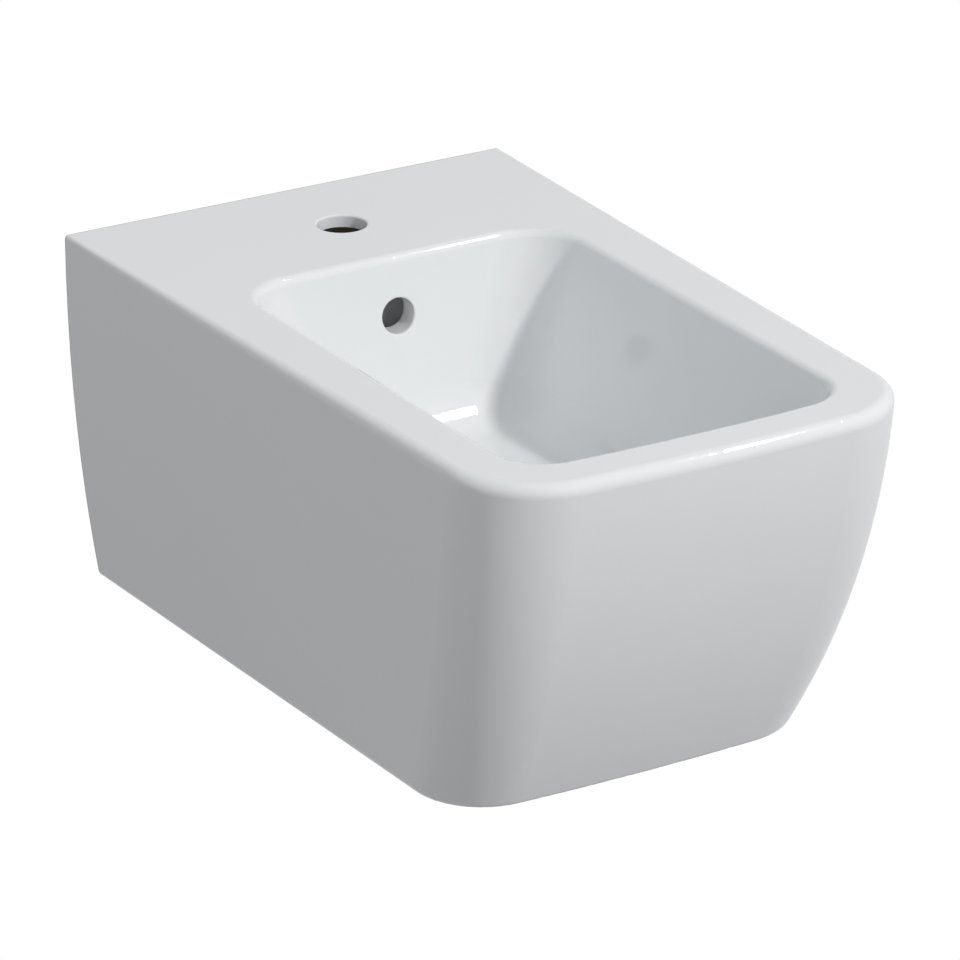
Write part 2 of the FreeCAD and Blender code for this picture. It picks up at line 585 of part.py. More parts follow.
def wall_fixing():
    """The studs, sleeves, washers and nuts, each as a left-hand and a right-hand solid."""
    through = "stud_radius + stud_clearance"
    wall_end = "(stud_in_wall - stud_bevel)"
    nut_end = "(stud_bevel - stud_inside)"
    shank_start = "(stud_nut_thread - stud_inside)"
    bevelled = "stud_radius - stud_bevel"
    stud = fuse("stud",
                bar_to_wall("stud_wall_thread", "stud_radius", "0", wall_end, x=STUD_X),
                cone_to_wall("stud_wall_end", "stud_radius", bevelled, wall_end, "stud_in_wall", x=STUD_X),
                bar_to_wall("stud_shank", "stud_shank_radius", shank_start, "0", x=STUD_X),
                bar_to_wall("stud_nut_thread", "stud_radius", nut_end, shank_start, x=STUD_X),
                cone_to_wall("stud_nut_end", bevelled, "stud_radius", "(-stud_inside)", nut_end, x=STUD_X))
    barrel = bar_to_wall("sleeve_barrel", "stud_hole_radius - sleeve_clearance", COLLAR_FACE,
                         "(-sleeve_setback)", x=STUD_X)
    collar = bar_to_wall("sleeve_flange", "sleeve_collar_radius", COLLAR_FACE, "(-stud_boss_length)",
                         x=STUD_X)
    sleeve = cut("sleeve", fuse("sleeve_solid", barrel, collar),
                 bar_to_wall("sleeve_bore", through, COLLAR_FACE, "0", x=STUD_X))
    disc = bar_to_wall("washer_disc", "stud_washer_radius", WASHER_FACE, COLLAR_FACE, x=STUD_X)
    washer = cut("washer", disc, bar_to_wall("washer_bore", through, WASHER_FACE, COLLAR_FACE, x=STUD_X))
    nut = hex_nut("nut", "stud_nut_across", "stud_nut", "stud_radius + thread_clearance", TO_WALL)
    bind(nut, x=STUD_X, y=NUT_FACE)
    return [pair("wall_studs", stud), pair("stud_sleeves", sleeve),
            pair("stud_washers", washer), pair("stud_nuts", nut)]


# Waste, from the flange in the bowl down to the end of its thread.
SEAL_UNDER = f"({BOSS_UNDER} - under_seal)"
SLIP_UNDER = f"({BOSS_UNDER} - under_seal - slip_washer)"
BACKNUT_UNDER = f"({BOSS_UNDER} - under_seal - slip_washer - backnut)"
CROSSBAR_TOP = f"({WASTE_END} + crossbar_height)"


def waste_body():
    """Flanged and slotted tube with the bar across its foot that carries the cartridge."""
    flange = cylinder("flange", "flange_radius", FLANGE_UNDER, FLANGE_TOP)
    tube = cylinder("waste_tube", "waste_radius", WASTE_END, FLANGE_TOP)
    bore = cylinder("waste_hole", "waste_bore", WASTE_END, FLANGE_TOP)
    slot_low = f"({SEAT} - duct_wall - duct_floor_gap)"
    slot_high = f"({SEAT} - duct_wall)"
    past = "flange_radius"
    half_slot = "slot_width / 2"
    across = box("slots_across", f"(-{past})", past, f"({DRAIN_Y} - {half_slot})",
                 f"({DRAIN_Y} + {half_slot})", slot_low, slot_high)
    along = box("slots_along", f"(-{half_slot})", half_slot, f"({DRAIN_Y} - {past})",
                f"({DRAIN_Y} + {past})", slot_low, slot_high)
    shell = cut("waste_shell", fuse("waste_blank", flange, tube), bore, across, along)
    reach = "(waste_bore + waste_radius) / 2"
    half_bar = "crossbar_width / 2"
    crossbar = box("crossbar", f"(-{reach})", reach, f"({DRAIN_Y} - {half_bar})",
                   f"({DRAIN_Y} + {half_bar})", WASTE_END, CROSSBAR_TOP)
    hub = cylinder("crossbar_hub", "cartridge_radius", WASTE_END, CROSSBAR_TOP)
    thread = cylinder("crossbar_thread", "cartridge_spigot + thread_clearance", WASTE_END, CROSSBAR_TOP)
    return cut("waste_body", fuse("waste_joined", shell, crossbar, hub), thread)


def waste_rings():
    """What clamps the waste body in the ceramic: two seals, a slip washer and the backnut."""
    loose = "waste_radius + ring_clearance"
    backnut = hex_nut("waste_backnut", "backnut_across", "backnut", "waste_radius + thread_clearance")
    bind(backnut, y=DRAIN_Y, z=BACKNUT_UNDER)
    return [ring("waste_flange_seal", loose, "flange_seal_radius", SEAT, FLANGE_UNDER),
            ring("waste_under_seal", loose, "under_seal_radius", SEAL_UNDER, BOSS_UNDER),
            ring("waste_slip_washer", loose, "under_seal_radius", SLIP_UNDER, SEAL_UNDER),
            backnut]


# Plug, drawn open: it stands the whole travel above the flange, on its spring.
PLUG_SEAL_UNDER = f"({FLANGE_TOP} + shut_gap + plug_travel)"
PLUG_UNDER = f"({PLUG_SEAL_UNDER} + plug_seal)"
HUB_UNDER = f"({PLUG_UNDER} - plug_hub)"
CARTRIDGE_TOP = f"({HUB_UNDER} - plug_travel - shut_gap)"
SLEEVE_TOP = f"({CARTRIDGE_TOP} - cartridge_cap)"
COLLAR_TOP = f"({SLEEVE_TOP} - collar_gap)"
COLLAR_UNDER = f"({COLLAR_TOP} - stem_collar)"
SPRING_FOOT = f"({CROSSBAR_TOP} + cartridge_base)"


def plug():
    """The pressed cap, its sealing ring, and the stem that slides in the cartridge."""
    ball_radius = "((plug_radius * plug_radius + plug_dome * plug_dome) / (2 * plug_dome))"
    plug_top = f"({PLUG_UNDER} + plug_edge + plug_dome)"
    ball = doc.addObject("Part::Sphere", "plug_ball")
    bind(ball, Radius=ball_radius, y=DRAIN_Y, z=f"{plug_top} - {ball_radius}")
    dome = common("plug_domed", cylinder("plug_disc", "plug_radius", PLUG_UNDER, plug_top), ball)
    hub = cylinder("plug_hub", "plug_hub_radius", HUB_UNDER, PLUG_UNDER)
    socket = cylinder("plug_socket", "stem_radius + thread_clearance", HUB_UNDER, PLUG_UNDER)
    cap = cut("plug_cap", fuse("plug_blank", dome, hub), socket)
    seal = ring("plug_seal", "plug_seal_radius - plug_seal_width", "plug_seal_radius",
                PLUG_SEAL_UNDER, PLUG_UNDER)
    rod = cylinder("stem_rod", "stem_radius", f"({COLLAR_UNDER} - stem_tail)", PLUG_UNDER)
    collar = cylinder("stem_collar", "stem_collar_radius", COLLAR_UNDER, COLLAR_TOP)
    return [cap, seal, fuse("plug_stem", rod, collar)]


def cartridge():
    """The fixed sleeve on the crossbar, its screwed cap that guides the stem, and the spring."""
    outside = cylinder("sleeve_outside", "cartridge_radius", CROSSBAR_TOP, SLEEVE_TOP)
    spigot = cylinder("sleeve_spigot", "cartridge_spigot", WASTE_END, CROSSBAR_TOP)
    sleeve = cut("cartridge_sleeve", fuse("sleeve_blank", outside, spigot),
                 cylinder("sleeve_inside", "cartridge_bore", SPRING_FOOT, SLEEVE_TOP))
    skirt_end = f"({SLEEVE_TOP} - cartridge_cap_skirt)"
    cap = cut("cartridge_cap", cylinder("cap_outside", "cartridge_cap_radius", skirt_end, CARTRIDGE_TOP),
              cylinder("cap_guide", "stem_radius + stem_clearance", SLEEVE_TOP, CARTRIDGE_TOP),
              cylinder("cap_skirt", "cartridge_radius + thread_clearance", skirt_end, SLEEVE_TOP))
    coil_radius = "(cartridge_bore - spring_clearance - spring_wire / 2)"
    helix = doc.addObject("Part::Helix", "spring_line")
    bind(helix, Radius=coil_radius, Pitch="spring_pitch", y=DRAIN_Y, z=f"{SPRING_FOOT} + spring_wire / 2",
         Height=f"{COLLAR_UNDER} - spring_gap - {SPRING_FOOT} - spring_wire")
    wire = doc.addObject("Part::Circle", "spring_section")
    wire.Placement = Placement(Vector(), Rotation(Vector(1, 0, 0), 90))
    bind(wire, Radius="spring_wire / 2", x=coil_radius, y=DRAIN_Y, z=f"{SPRING_FOOT} + spring_wire / 2")
    doc.recompute()
    spring = doc.addObject("Part::Sweep", "cartridge_spring")
    spring.Sections = [wire]
    spring.Spine = (helix, [f"Edge{index + 1}" for index in range(len(helix.Shape.Edges))])
    spring.Solid = True
    spring.Frenet = True
    return [sleeve, cap, spring]


# Drain bend, from the union nut on the waste to the pipe that enters the wall.
GASKET_UNDER = f"({WASTE_END} - union_gasket)"
BEND_FLANGE_UNDER = f"({GASKET_UNDER} - bend_flange)"
UNION_UNDER = f"({BEND_FLANGE_UNDER} - union_shoulder)"
BEND_TOP = f"({UNION_UNDER} - bend_neck)"
PIPE_Z = f"({BEND_TOP} - bend_radius)"
BEND_BACK = f"({DRAIN_Y} + bend_radius)"
SOCKET_MOUTH = f"({BEND_BACK} + bend_outlet)"
PIPE_START = f"({SOCKET_MOUTH} - socket_depth)"
SOCKET_SEAL_END = f"({SOCKET_MOUTH} + socket_seal)"
SOCKET_NUT_BACK = f"({SOCKET_SEAL_END} + socket_nut_lip)"
SOCKET_NUT_FRONT = f"({SOCKET_NUT_BACK} - socket_nut)"


def elbow(name, radius):
    """A quarter ring that turns from straight down to straight towards the wall."""
    bend = doc.addObject("Part::Torus", name)
    bend.Placement = Placement(Vector(), SIDEWAYS)
    bend.Angle3 = FULL_TURN / 4
    return bind(bend, Radius1="bend_radius", Radius2=radius, y=BEND_BACK, z=BEND_TOP)


def drain_union():
    """Gasket and union nut that hold the bend to the waste."""
    gasket = ring("union_gasket", "waste_bore", "waste_radius - ring_clearance", GASKET_UNDER, WASTE_END)
    length = "union_overlap + union_gasket + bend_flange + union_shoulder"
    blank = hex_nut("union_blank", "union_across", length, "pipe_radius + pipe_clearance")
    bind(blank, y=DRAIN_Y, z=UNION_UNDER)
    thread = cylinder("union_thread", "waste_radius + thread_clearance", BEND_FLANGE_UNDER,
                      f"({WASTE_END} + union_overlap)")
    return [gasket, cut("union_nut", blank, thread)]


def drain_bend():
    """Flanged bend with a socket for the wall pipe."""
    inside = "pipe_radius - pipe_wall"
    socket_start = f"({PIPE_START} - socket_base)"
    on_pipe = "pipe_radius + pipe_clearance"
    blank = fuse("bend_blank",
                 cylinder("bend_collar", "bend_flange_radius", BEND_FLANGE_UNDER, GASKET_UNDER),
                 cylinder("bend_drop", "pipe_radius", BEND_TOP, GASKET_UNDER),
                 elbow("bend_turn", "pipe_radius"),
                 bar_to_wall("bend_run", "pipe_radius", BEND_BACK, SOCKET_MOUTH, z=PIPE_Z),
                 bar_to_wall("bend_socket", "socket_radius", socket_start, SOCKET_MOUTH, z=PIPE_Z))
    return cut("drain_bend", blank,
               cylinder("bend_drop_hole", inside, BEND_TOP, GASKET_UNDER),
               elbow("bend_turn_hole", inside),
               bar_to_wall("bend_run_hole", inside, BEND_BACK, SOCKET_MOUTH, z=PIPE_Z),
               bar_to_wall("bend_socket_hole", on_pipe, PIPE_START, SOCKET_MOUTH, z=PIPE_Z))


def wall_pipe():
    """The pipe into the wall, its cone seal and ribbed nut at the bend, and the cover ring."""
    on_pipe = "pipe_radius + pipe_clearance"
    bevel_start = "(pipe_in_wall - pipe_end_bevel)"
    bevel = cone_to_wall("pipe_bevel", "pipe_radius", "pipe_radius - pipe_end_bevel / 2", bevel_start,
                         "pipe_in_wall", z=PIPE_Z)
    tube = bar_to_wall("pipe_outside", "pipe_radius", PIPE_START, bevel_start, z=PIPE_Z)
    mark = "pipe_mark_reach", "pipe_mark_reach + pipe_mark"
    groove = cut("pipe_groove", bar_to_wall("mark_outside", "socket_radius", *mark, z=PIPE_Z),
                 bar_to_wall("mark_inside", "pipe_radius - pipe_mark_depth", *mark, z=PIPE_Z))
    pipe = cut("drain_pipe", fuse("pipe_blank", tube, bevel), groove,
               bar_to_wall("pipe_inside", "pipe_radius - pipe_wall", PIPE_START, "pipe_in_wall", z=PIPE_Z))
    cone = cone_to_wall("socket_seal_cone", "socket_radius", "socket_radius - socket_seal_taper",
                        SOCKET_MOUTH, SOCKET_SEAL_END, z=PIPE_Z)
    seal = cut("socket_seal", cone,
               bar_to_wall("socket_seal_hole", on_pipe, SOCKET_MOUTH, SOCKET_SEAL_END, z=PIPE_Z))
    ends = SOCKET_NUT_FRONT, SOCKET_NUT_BACK
    drum_radius = "(socket_nut_radius - socket_nut_rib)"
    grip = [bar_to_wall("socket_nut_drum", drum_radius, *ends, z=PIPE_Z)]
    for index in range(int(number("socket_nut_ribs"))):
        turn = f"({FULL_TURN} deg * {index} / socket_nut_ribs)"
        grip.append(bar_to_wall(f"socket_nut_rib_{index}", "socket_nut_rib", *ends,
                                x=f"{drum_radius} * cos{turn}", z=f"{PIPE_Z} + {drum_radius} * sin{turn}"))
    thread = bar_to_wall("socket_nut_thread", "socket_radius + thread_clearance", SOCKET_NUT_FRONT,
                         SOCKET_SEAL_END, z=PIPE_Z)
    nut = cut("socket_nut", fuse("socket_nut_grip", *grip), thread,
              bar_to_wall("socket_nut_hole", on_pipe, *ends, z=PIPE_Z))
    cover = cut("wall_rosette", rosette_cone("rosette_outside", "0"),
                rosette_cone("rosette_inside", "rosette_sheet"),
                bar_to_wall("rosette_hole", on_pipe, "(-2 * rosette_depth)", "0", z=PIPE_Z))
    return [pipe, seal, nut, cover]


def rosette_cone(name, sheet_inside):
    """The cover ring's outside, or its hollow a sheet thickness inside."""
    return cone_to_wall(name, f"rosette_nose - {sheet_inside}", f"rosette_radius - {sheet_inside}",
                        f"{sheet_inside} - rosette_depth", "0", z=PIPE_Z)


pieces = [ceramic_casting()] + wall_fixing() + [waste_body()] + waste_rings() + plug() + cartridge()
pieces += drain_union() + [drain_bend()] + wall_pipe()
doc.recompute()

for thing in doc.Objects:
    if "Invalid" in thing.State or "Error" in thing.State:
        raise RuntimeError(f"{thing.Name} failed: {thing.State}")
for piece in pieces:
    if piece.Shape.isNull() or not piece.Shape.isValid() or not piece.Shape.Solids:
        raise RuntimeError(f"{piece.Label} has no valid solid")

os.makedirs("parts", exist_ok=True)
for piece in pieces:
    piece.Shape.exportStep(f"parts/{piece.Label}.step")
    print(f"{piece.Label}: {len(piece.Shape.Solids)} solids, {piece.Shape.Volume / 1000:.2f} ml")
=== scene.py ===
# %% [markdown]
# # A wall-hung bidet
# The bidet is one white ceramic casting that hangs on two studs in the wall. Under it a waste with
# a push-open plug, a bend and a pipe take the water into the wall.
# The exact pieces come from a imported CAD model, which is loaded first and stays as it is. Their
# finishes, the screw threads, a copy of the spring, the light and the camera are made here.
# All sizes are in metres. X runs across, Y into the wall and Z up, and the wall is the plane Y = 0.

# %% Load the pieces
import math

import bmesh
import bpy
from mathutils import Matrix, Vector
from mathutils.bvhtree import BVHTree


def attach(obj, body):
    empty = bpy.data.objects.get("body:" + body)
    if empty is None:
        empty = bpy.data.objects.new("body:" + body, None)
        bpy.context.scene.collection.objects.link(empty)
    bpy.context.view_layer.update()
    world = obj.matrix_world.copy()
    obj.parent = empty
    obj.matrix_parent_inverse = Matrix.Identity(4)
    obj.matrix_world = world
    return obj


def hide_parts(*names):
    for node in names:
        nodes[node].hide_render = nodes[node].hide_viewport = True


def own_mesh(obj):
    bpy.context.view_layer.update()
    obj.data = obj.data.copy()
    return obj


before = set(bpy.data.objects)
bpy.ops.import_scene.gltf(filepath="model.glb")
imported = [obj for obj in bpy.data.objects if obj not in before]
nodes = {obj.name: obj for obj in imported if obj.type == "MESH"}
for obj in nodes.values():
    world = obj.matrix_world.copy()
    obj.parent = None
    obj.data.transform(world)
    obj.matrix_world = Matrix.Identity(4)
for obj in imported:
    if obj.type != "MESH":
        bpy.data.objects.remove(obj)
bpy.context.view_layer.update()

print("pieces:", ", ".join(sorted(nodes)))

# %% [markdown]
# ## The camera
# The photograph was taken from far away with a long lens, so lines that run into the picture hardly
# draw together. A camera at the same place with the same long lens gives the same outline. Turning
# the camera by an upright angle and a height angle keeps its horizon level, as on a tripod.

# %% Camera
CAMERA_PLACE = Vector((-1.8816, -3.3825, 1.4931))
CAMERA_TURN = math.radians(-31.10)
CAMERA_HEIGHT_ANGLE = math.radians(22.77)
LENS = 219.33
SENSOR = 36.0

camera = bpy.data.objects.new("camera", bpy.data.cameras.new("camera"))
camera.data.sensor_width = SENSOR
camera.data.lens = LENS
camera.location = CAMERA_PLACE
camera.rotation_euler = (math.pi / 2 - CAMERA_HEIGHT_ANGLE, 0.0, CAMERA_TURN)
bpy.context.collection.objects.link(camera)
bpy.context.scene.camera = camera
bpy.context.scene.view_settings.view_transform = "Standard"
print("camera:", tuple(round(value, 3) for value in camera.location), "lens", LENS, "mm")

# %% [markdown]
# ## Building a finish from nodes
# Every finish is a Principled shader with a few nodes in front of it. Small helpers keep that
# readable: one makes the material and sets the values that are the same all over the surface, one
# adds any node and joins its inputs, and the others add the nodes that are needed most. Patterns are
# laid out in object space, which for these pieces is the frame of the whole object, so a pattern has
# its real size in metres.

# %% Helpers for finishes
PATCH_LOW, PATCH_HIGH = 0.3, 0.7


def new_finish(name, **constant):
    """A material and its Principled shader, with constant values on the shader's own sockets."""
    material = bpy.data.materials.new(name)
    material.use_nodes = True
    shader = material.node_tree.nodes["Principled BSDF"]
    for socket, value in constant.items():
        shader.inputs[socket.replace("_", " ")].default_value = value
    return material, shader


def add(material, kind, inputs, **settings):
    """Add a node, set it up, fill or join its inputs, and return its outputs."""
    node = material.node_tree.nodes.new("ShaderNode" + kind)
    for name, value in settings.items():
        setattr(node, name, value)
    for socket, value in inputs.items():
        if isinstance(value, bpy.types.NodeSocket):
            material.node_tree.links.new(value, node.inputs[socket])
        else:
            node.inputs[socket].default_value = value
    return node.outputs


def noise(material, place, size, detail=3.0):
    """Cloudy noise from 0 to 1 whose patches are about the given size across."""
    return add(material, "TexNoise", {"Vector": place, "Scale": 1.0 / size, "Detail": detail})["Fac"]


def between(material, value, start, end, low=0.0, high=1.0):
    """Carry a value from one span to another, and hold it at the ends."""
    spans = {"Value": value, "From Min": start, "From Max": end, "To Min": low, "To Max": high}
    return add(material, "MapRange", spans)["Result"]


def patchy(material, value, low, high):
    """A value that follows the noise, whose patches mostly lie between 0.3 and 0.7."""
    return between(material, value, PATCH_LOW, PATCH_HIGH, low, high)


def tint(material, value, dark, light):
    """A colour between two, chosen by a value from 0 to 1."""
    ramp = material.node_tree.nodes.new("ShaderNodeValToRGB")
    ramp.color_ramp.elements[0].color = (*dark, 1.0)
    ramp.color_ramp.elements[1].color = (*light, 1.0)
    material.node_tree.links.new(value, ramp.inputs["Fac"])
    return ramp.outputs["Color"]


def mixed(material, share, first, second):
    """The first colour where share is 0 and the second where it is 1."""
    outputs = add(material, "Mix", {"Factor": share}, data_type="RGBA")
    node = outputs[0].node
    for socket, colour in (("A_Color", first), ("B_Color", second)):
        target = next(port for port in node.inputs if port.identifier == socket)
        material.node_tree.links.new(colour, target)
    return next(port for port in outputs if port.identifier == "Result_Color")


def math_of(material, operation, first, second):
    """One step of arithmetic on two values."""
    return add(material, "Math", {0: first, 1: second}, operation=operation)["Value"]


def object_space(material):
    """The place of each point, in metres in the object's frame."""
    return add(material, "TexCoord", {})["Object"]


def feed(material, shader, **sources):
    """Join node outputs to the shader's sockets."""
    for socket, source in sources.items():
        material.node_tree.links.new(source, shader.inputs[socket.replace("_", " ")])


def relief(material, shader, height, depth):
    """A small relief in the shading, so many metres deep."""
    bump = add(material, "Bump", {"Height": height, "Distance": depth, "Strength": 1.0})
    feed(material, shader, Normal=bump["Normal"])


def dress(material, *names):
    """Give a finish to pieces of the CAD model."""
    for name in names:
        piece = nodes[name]
        piece.data.materials.clear()
        piece.data.materials.append(material)
    print(material.name, "on", ", ".join(names))


print("finish helpers ready")

# %% [markdown]
# ## Where the glaze cannot reach
# Glaze is sprayed on from outside, so the hollow under the rim stays bare clay. A face lies in that
# hollow if something is above it and if most of the level ways out, to both sides, to the front and
# to the back, end at the casting again. Rays from the middle of each face find that out. The overflow
# and its passage carry water, so they are glazed too: they are known by their place behind the bowl
# and by a wall that is close in front of the face.
# The answer is kept on the mesh as a number for each face, which the finish can read. There the clay colour
# is also painted darker, as painted shade for the dim hollow.

# %% Find the bare faces
RAY_START = 0.0004
LEVEL_WAYS = [Vector((1, 0, 0)), Vector((-1, 0, 0)), Vector((0, 1, 0)), Vector((0, -1, 0))]
WAYS_SHUT = 3
PASSAGE_HALF, PASSAGE_BACK, PASSAGE_GAP = 0.0245, -0.1175, 0.050
UP = Vector((0, 0, 1))


def lies_bare(tree, face):
    """Whether a face of the casting is in the hollow that no glaze reaches."""
    start = face.center + face.normal * RAY_START
    if tree.ray_cast(start, UP)[0] is None:
        return False
    shut = sum(tree.ray_cast(start, way)[0] is not None for way in LEVEL_WAYS)
    in_passage = (abs(start.x) < PASSAGE_HALF and start.y < PASSAGE_BACK
                  and tree.ray_cast(start, face.normal, PASSAGE_GAP)[0] is not None)
    return shut >= WAYS_SHUT and not in_passage


casting = nodes["ceramic_body"].data
rays = BVHTree.FromPolygons([point.co for point in casting.vertices],
                            [tuple(face.vertices) for face in casting.polygons])
bare_faces = [lies_bare(rays, face) for face in casting.polygons]
# The mark for bare faces, which later get the darker clay colour that is painted shade.
bare_note = casting.attributes.new("bare_clay_and_shade", "FLOAT", "FACE")
bare_note.data.foreach_set("value", [float(bare_and_shaded) for bare_and_shaded in bare_faces])
print("bare faces:", sum(bare_faces), "of", len(bare_faces))

# %% [markdown]
# ## White glaze
# Sanitary ware is fired clay under a thick white glaze. The glaze is almost a mirror, with very
# slight waves where it ran, and its white is never quite even. Where the casting stood in the kiln
# and where it meets the wall the glaze is wiped off, and the bare, buff-coloured body shows.
# Height and distance from the wall pick those places, and the faces found above are bare as well.
# The bare clay is painted darker than the real body, as painted shade, most of all for the dim
# hollow under the rim.

# %% Glaze on the casting
GLAZE_CLOUD, GLAZE_WAVE, CLAY_GRAIN, WIPED_PATCH = 0.11, 0.045, 0.0012, 0.006
WAVE_DEPTH = 0.00012
GLAZE_DARK, GLAZE_LIGHT = (0.826, 0.835, 0.840), (0.855, 0.863, 0.868)
# Bare clay colours, darker than the real body: painted shade for the dim hollow under the rim.
CLAY_AND_SHADE_DARK, CLAY_AND_SHADE_LIGHT = (0.42, 0.37, 0.30), (0.54, 0.49, 0.41)
GLAZE_ROUGHNESS, CLAY_ROUGHNESS = (0.06, 0.10), 0.8
WALL_WIPE_FROM, WALL_WIPE_TO = -0.0010, -0.0003
FOOT_WIPE_LOW, FOOT_WIPE_HIGH = -0.1712, -0.1690

glaze, glaze_shader = new_finish("white_glaze", IOR=1.52)
place = object_space(glaze)
axes = add(glaze, "SeparateXYZ", {"Vector": place})
cloud = noise(glaze, place, GLAZE_CLOUD)
grain = noise(glaze, place, CLAY_GRAIN)
ragged = noise(glaze, place, WIPED_PATCH)

white = tint(glaze, cloud, GLAZE_DARK, GLAZE_LIGHT)
clay_and_shade = tint(glaze, grain, CLAY_AND_SHADE_DARK, CLAY_AND_SHADE_LIGHT)
wall_side = between(glaze, axes["Y"], WALL_WIPE_FROM, WALL_WIPE_TO)
wiped_edge = between(glaze, ragged, 0.0, 1.0, FOOT_WIPE_LOW, FOOT_WIPE_HIGH)
foot_side = math_of(glaze, "LESS_THAN", axes["Z"], wiped_edge)
# Faces in the hollow: bare clay whose darker colour is painted shade.
hollow_shade = add(glaze, "Attribute", {}, attribute_name="bare_clay_and_shade")["Fac"]
bare_and_shaded = math_of(glaze, "MAXIMUM", hollow_shade, math_of(glaze, "MAXIMUM", wall_side, foot_side))
shine = patchy(glaze, cloud, *GLAZE_ROUGHNESS)
feed(glaze, glaze_shader,
     Base_Color=mixed(glaze, bare_and_shaded, white, clay_and_shade),
     Roughness=math_of(glaze, "MAXIMUM", shine, math_of(glaze, "MULTIPLY", bare_and_shaded, CLAY_ROUGHNESS)))
relief(glaze, glaze_shader, noise(glaze, place, GLAZE_WAVE, detail=1.0), WAVE_DEPTH)
dress(glaze, "ceramic_body")

# %% [markdown]
# ## Chromed waste and plug
# The waste and the plug's cap are brass under bright chrome. Chrome is a clean mirror that is a
# little darker and bluer than silver. Wiping leaves hair-fine marks, which only show as a slightly
# uneven shine, so they go into the roughness and not into the colour.

# %% Chrome
CHROME_DARK, CHROME_LIGHT = (0.66, 0.67, 0.69), (0.74, 0.75, 0.77)
CHROME_CLOUD, WIPE_WIDTH, WIPE_STRETCH = 0.02, 0.010, (1.0, 14.0, 1.0)
WIPE_LOW, WIPE_HIGH, CHROME_ROUGHNESS = 0.35, 0.75, (0.04, 0.14)

chrome, chrome_shader = new_finish("bright_chrome", Metallic=1.0)
place = object_space(chrome)
stretched = add(chrome, "Mapping", {"Vector": place, "Scale": WIPE_STRETCH})["Vector"]
wipes = noise(chrome, stretched, WIPE_WIDTH, detail=6.0)
feed(chrome, chrome_shader,
     Base_Color=tint(chrome, noise(chrome, place, CHROME_CLOUD), CHROME_DARK, CHROME_LIGHT),
     Roughness=between(chrome, wipes, WIPE_LOW, WIPE_HIGH, *CHROME_ROUGHNESS))
dress(chrome, "waste_body", "plug_cap")

# %% [markdown]
# ## Turned brass
# The backnut, the plug's stem and the cartridge's cap are turned on a lathe and left bare. The tool
# leaves fine rings round the axis. A wave along the upright axis gives those rings at their real
# spacing, about a third of a millimetre, and clouds of dull brown give the tarnish.

# %% Brass
BRASS_DARK, BRASS_LIGHT = (0.43, 0.29, 0.11), (0.74, 0.55, 0.25)
TARNISH_PATCH, BRASS_ROUGHNESS = 0.012, (0.42, 0.24)
RING_SCALE, RING_WOBBLE, RING_DEPTH = 900.0, 0.4, 0.00003

brass, brass_shader = new_finish("turned_brass", Metallic=1.0)
place = object_space(brass)
tarnish = noise(brass, place, TARNISH_PATCH, detail=5.0)
rings = add(brass, "TexWave", {"Vector": place, "Scale": RING_SCALE, "Distortion": RING_WOBBLE},
            wave_type="BANDS", bands_direction="Z")["Fac"]
feed(brass, brass_shader,
     Base_Color=tint(brass, tarnish, BRASS_DARK, BRASS_LIGHT),
     Roughness=patchy(brass, tarnish, *BRASS_ROUGHNESS))
relief(brass, brass_shader, rings, RING_DEPTH)
dress(brass, "waste_backnut", "plug_stem", "cartridge_cap")

# %% [markdown]
# ## Zinc-plated steel
# Studs, washers and nuts are steel with a thin zinc coat. Zinc is a soft grey metal whose crystals
# show as faint spangles. Cells of a Voronoi pattern, each a slightly different grey, look like that.

# %% Zinc
ZINC_DARK, ZINC_LIGHT = (0.46, 0.48, 0.50), (0.66, 0.68, 0.69)
SPANGLE_SCALE, ZINC_PATCH, ZINC_ROUGHNESS = 420.0, 0.004, (0.30, 0.46)

zinc, zinc_shader = new_finish("zinc_coat", Metallic=1.0)
place = object_space(zinc)
spangle = add(zinc, "TexVoronoi", {"Vector": place, "Scale": SPANGLE_SCALE})["Color"]
feed(zinc, zinc_shader,
     Base_Color=tint(zinc, spangle, ZINC_DARK, ZINC_LIGHT),
     Roughness=patchy(zinc, noise(zinc, place, ZINC_PATCH), *ZINC_ROUGHNESS))
dress(zinc, "stud_washers", "stud_nuts")

# %% [markdown]
# ## Spring wire
# The plug's spring is drawn steel wire: darker than the zinc, smoother, and streaked by the die.

# %% Spring wire
WIRE_DARK, WIRE_LIGHT = (0.38, 0.38, 0.39), (0.58, 0.58, 0.59)
WIRE_STREAK, WIRE_PATCH, WIRE_ROUGHNESS = 0.002, 0.001, (0.22, 0.36)

spring_steel, spring_shader = new_finish("drawn_spring_wire", Metallic=1.0)
place = object_space(spring_steel)
feed(spring_steel, spring_shader,
     Base_Color=tint(spring_steel, noise(spring_steel, place, WIRE_STREAK), WIRE_DARK, WIRE_LIGHT),
     Roughness=patchy(spring_steel, noise(spring_steel, place, WIRE_PATCH), *WIRE_ROUGHNESS))
print("finish made:", spring_steel.name)

# %% [markdown]
# ## A copy of the spring
# A pressed plug shortens its spring, and a piece of the CAD model cannot change. So a copy of the
# spring's mesh takes its place.

still_spring = nodes["cartridge_spring"]
spring = bpy.data.objects.new("plug_spring", still_spring.data.copy())
bpy.context.collection.objects.link(spring)
spring.matrix_world = still_spring.matrix_world
spring.data.materials.clear()
spring.data.materials.append(spring_steel)
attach(spring, "casting")
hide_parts("cartridge_spring")
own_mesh(spring)

# %% [markdown]
# ## Threaded studs
# Each stud is a steel rod with a coarse screw thread at both ends: one end turns into the wall, the
# other takes the nut. The CAD model only has the plain rods, so the threads are made here. A screw
# thread is a ridge that climbs one pitch in each turn. Instead of cutting it with a tool, the rod's
# skin is laid out as a grid, round and along, and each point's distance from the axis is worked out
# from where it is in the turn. The thread fades out towards the smooth shank, as a rolled one does.

